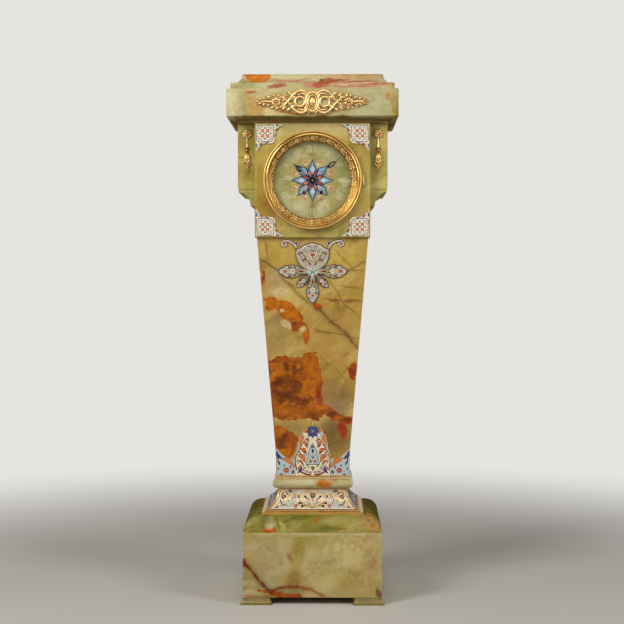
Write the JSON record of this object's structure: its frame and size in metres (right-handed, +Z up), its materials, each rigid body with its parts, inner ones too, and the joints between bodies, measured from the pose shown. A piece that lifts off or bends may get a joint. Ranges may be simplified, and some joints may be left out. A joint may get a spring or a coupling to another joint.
{
  "type": "pedestal clock",
  "caption": "Tall onyx pedestal clock with tapering square shaft, projecting head, hinged round bezel, enamel mounts and spring-driven pendulum movement.",
  "frame": {"origin": "on the floor under the middle of the clock's outline", "axes": "+Z up, the dial faces -Y, +X to the right of someone who looks at the dial"},
  "size_m": [0.4, 0.3506, 1.24],
  "materials": {
    "onyx_green": "polished pale green onyx with brown and orange veins",
    "onyx_shaft": "polished olive-gold onyx with large orange and red-brown patches",
    "onyx_plinth": "polished pale onyx with red-brown veins",
    "onyx_cap": "polished pale green onyx with pink and orange clouds",
    "onyx_dial": "honed green onyx dial with gilt numerals",
    "gilt_bronze": "mercury-gilt bronze, burnished on high points",
    "brass": "lacquered brass",
    "enamel_cream": "champleve enamel, cream and pale blue with red, navy and orange cells in gilt lines",
    "enamel_blue": "champleve enamel star in blues with gilt lines",
    "blued_steel": "polished blued steel",
    "steel": "polished steel",
    "bell_metal": "turned bell metal, nickel-coloured",
    "iron": "blackened wrought iron",
    "walnut": "plain oiled walnut",
    "glass": "clear flat glass"
  },
  "bodies": {
    "case": {"foot_front_left": "gilt_bronze", "foot_front_right": "gilt_bronze", "foot_back_left": "gilt_bronze", "foot_back_right": "gilt_bronze", "base_board": "walnut", "plinth_front": "onyx_plinth", "plinth_back": "onyx_plinth", "plinth_left": "onyx_plinth", "plinth_right": "onyx_plinth", "plinth_hood": "onyx_green", "base_ledge": "gilt_bronze", "spreader_casing": "enamel_cream", "spreader_core": "walnut", "shaft_torus": "onyx_green", "shaft_fillet": "gilt_bronze", "shaft_front": "onyx_shaft", "shaft_back": "onyx_shaft", "shaft_left": "onyx_shaft", "shaft_right": "onyx_shaft", "shaft_apron": "enamel_cream", "pendant_mount": "enamel_cream", "tie_rod": "iron", "tie_rod_nut": "iron", "head_front": "onyx_green", "head_left": "onyx_green", "head_right": "onyx_green", "head_back": "onyx_green", "head_floor": "walnut", "cap_slab": "onyx_cap", "cap_top": "onyx_cap", "cap_mount": "gilt_bronze", "drop_left": "gilt_bronze", "drop_right": "gilt_bronze", "spandrel_upper_left": "enamel_cream", "spandrel_upper_right": "enamel_cream", "spandrel_lower_left": "enamel_cream", "spandrel_lower_right": "enamel_cream", "dial_seat": "brass", "dial": "onyx_dial", "dial_star": "enamel_blue", "movement_front_plate": "brass", "movement_back_plate": "brass", "bell": "bell_metal", "door_hinge": "brass"},
    "bezel": {"bezel_ring": "gilt_bronze", "bezel_glass": "glass"},
    "minute_arbor": {"minute_hand": "blued_steel", "centre_arbor": "steel"},
    "hour_pipe": {"hour_hand": "blued_steel", "hour_wheel": "brass"},
    "motion_wheel": {"minute_wheel": "brass"},
    "going_drum": {"going_barrel": "brass"},
    "strike_drum": {"strike_barrel": "brass"},
    "going_arbor": {"winding_arbor_going": "steel"},
    "strike_arbor": {"winding_arbor_strike": "steel"},
    "escape": {"escape_wheel": "brass"},
    "anchor": {"pallet_anchor": "steel"},
    "pendulum": {"pendulum": "brass"},
    "hammer": {"strike_hammer": "steel"},
    "door": {"back_door": "brass"}
  },
  "joints": [
    {"name": "bezel_hinge", "type": "hinge", "parent": "case", "child": "bezel", "pos_m": [0.1185, -0.14415, 0.9915], "axis": [0, 0, 1], "range_deg": [0, 110]},
    {"name": "minute_turn", "type": "hinge", "parent": "case", "child": "minute_arbor", "pos_m": [0, -0.113, 0.9915], "axis": [0, 1, 0], "continuous": true},
    {"name": "hour_turn", "type": "hinge", "parent": "case", "child": "hour_pipe", "pos_m": [0, -0.113, 0.9915], "axis": [0, 1, 0], "continuous": true},
    {"name": "motion_wheel_turn", "type": "hinge", "parent": "case", "child": "motion_wheel", "pos_m": [0, -0.113, 1.0095], "axis": [0, 1, 0], "continuous": true},
    {"name": "going_drum_turn", "type": "hinge", "parent": "case", "child": "going_drum", "pos_m": [0.0206, -0.09, 0.9633], "axis": [0, 1, 0], "continuous": true},
    {"name": "strike_drum_turn", "type": "hinge", "parent": "case", "child": "strike_drum", "pos_m": [-0.0206, -0.09, 0.9633], "axis": [0, 1, 0], "range_deg": [0, 1800]},
    {"name": "wind_going", "type": "hinge", "parent": "case", "child": "going_arbor", "pos_m": [0.0206, -0.09, 0.9633], "axis": [0, 1, 0], "range_deg": [0, 1800]},
    {"name": "wind_strike", "type": "hinge", "parent": "case", "child": "strike_arbor", "pos_m": [-0.0206, -0.09, 0.9633], "axis": [0, 1, 0], "range_deg": [0, 1800]},
    {"name": "escape_turn", "type": "hinge", "parent": "case", "child": "escape", "pos_m": [0, -0.09, 1.0115], "axis": [0, 1, 0], "continuous": true},
    {"name": "pendulum_swing", "type": "hinge", "parent": "case", "child": "pendulum", "pos_m": [0, -0.053, 1.0365], "axis": [0, 1, 0], "range_deg": [-3, 3]},
    {"name": "anchor_rock", "type": "hinge", "parent": "case", "child": "anchor", "pos_m": [0, -0.09, 1.0365], "axis": [0, 1, 0], "range_deg": [-3, 3]},
    {"name": "hammer_lift", "type": "hinge", "parent": "case", "child": "hammer", "pos_m": [0.044, -0.09, 0.9615], "axis": [0, 1, 0], "range_deg": [0, 15], "stiffness_Nm_per_rad": 0.01, "springref_deg": -17.19},
    {"name": "door_hinge_turn", "type": "hinge", "parent": "case", "child": "door", "pos_m": [0.0915, 0.1443, 0.9915], "axis": [0, 0, -1], "range_deg": [0, 110]}
  ],
  "couplings": [
    {"joint": "hour_turn", "follows": "minute_turn", "ratio": 0.083333},
    {"joint": "motion_wheel_turn", "follows": "minute_turn", "ratio": -0.33333},
    {"joint": "going_drum_turn", "follows": "minute_turn", "ratio": 0.026042},
    {"joint": "anchor_rock", "follows": "pendulum_swing", "ratio": 1}
  ]
}
